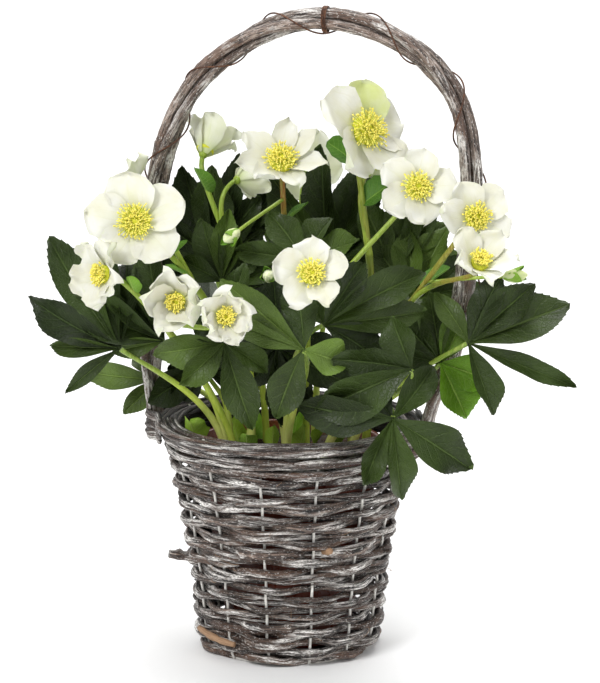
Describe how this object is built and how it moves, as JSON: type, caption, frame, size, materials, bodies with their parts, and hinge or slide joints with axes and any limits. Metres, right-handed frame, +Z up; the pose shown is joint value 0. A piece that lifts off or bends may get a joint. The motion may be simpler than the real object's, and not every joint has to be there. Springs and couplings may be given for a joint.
{
  "type": "potted hellebore plant",
  "caption": "White-flowered hellebore (Christmas rose) growing in a nursery pot that stands in a round willow basket, which is carried by its tall arched handle.",
  "frame": {"origin": "centre of the underside of the basket's base, on the surface that the basket stands on", "axes": "+Z up; -Y towards the front of the plant, where most blooms look; +X to the right as seen from the front"},
  "size_m": [0.3776, 0.286, 0.4521],
  "materials": {
    "willow": "matte",
    "wire": "satin",
    "binding": "matte",
    "pot": "satin",
    "mix": "matte",
    "leaf": "satin",
    "stem": "satin",
    "sepal": "matte",
    "stamen": "matte"
  },
  "bodies": {
    "root": {"basket_weave": "willow", "basket_wire_frame": "wire", "basket_base": "willow", "basket_rim_rod": "willow", "handle_rod_1": "willow", "handle_rod_2": "willow", "handle_rod_3": "willow", "handle_binding_wire": "binding", "nursery_pot": "pot", "potting_mix": "mix", "leaves_left": "leaf", "leaf_left_low": "leaf", "leaves_front_left": "leaf", "leaves_front": "leaf", "leaves_core": "leaf", "leaves_drape": "leaf", "leaves_right": "leaf", "leaves_right_back": "leaf", "leaves_tall_middle": "leaf", "leaves_tall_left": "leaf", "leaves_inner": "leaf", "leaves_back": "leaf", "stem_01": "stem", "stem_02": "stem", "stem_03": "stem", "stem_04": "stem", "stem_05": "stem", "stem_06": "stem", "stem_07": "stem", "stem_08": "stem", "bloom_01_sepals": "sepal", "bloom_01_stamens": "stamen", "bloom_02_sepals": "sepal", "bloom_02_stamens": "stamen", "bloom_03_sepals": "sepal", "bloom_03_stamens": "stamen", "bloom_04_sepals": "sepal", "bloom_04_stamens": "stamen", "bloom_05_sepals": "sepal", "bloom_05_stamens": "stamen", "bloom_06_sepals": "sepal", "bloom_06_stamens": "stamen", "bloom_07_sepals": "sepal", "bloom_07_stamens": "stamen", "bloom_08_sepals": "sepal", "bloom_08_stamens": "stamen", "bloom_09_sepals": "sepal", "bloom_09_stamens": "stamen", "bloom_10_sepals": "sepal", "bloom_10_stamens": "stamen", "bloom_11_sepals": "sepal", "bloom_11_stamens": "stamen", "bloom_12_sepals": "sepal", "bloom_12_stamens": "stamen", "bloom_13_sepals": "sepal", "bloom_13_stamens": "stamen", "bloom_14_sepals": "sepal", "bloom_14_stamens": "stamen", "bloom_15_sepals": "sepal", "bloom_15_stamens": "stamen"}
  },
  "joints": []
}
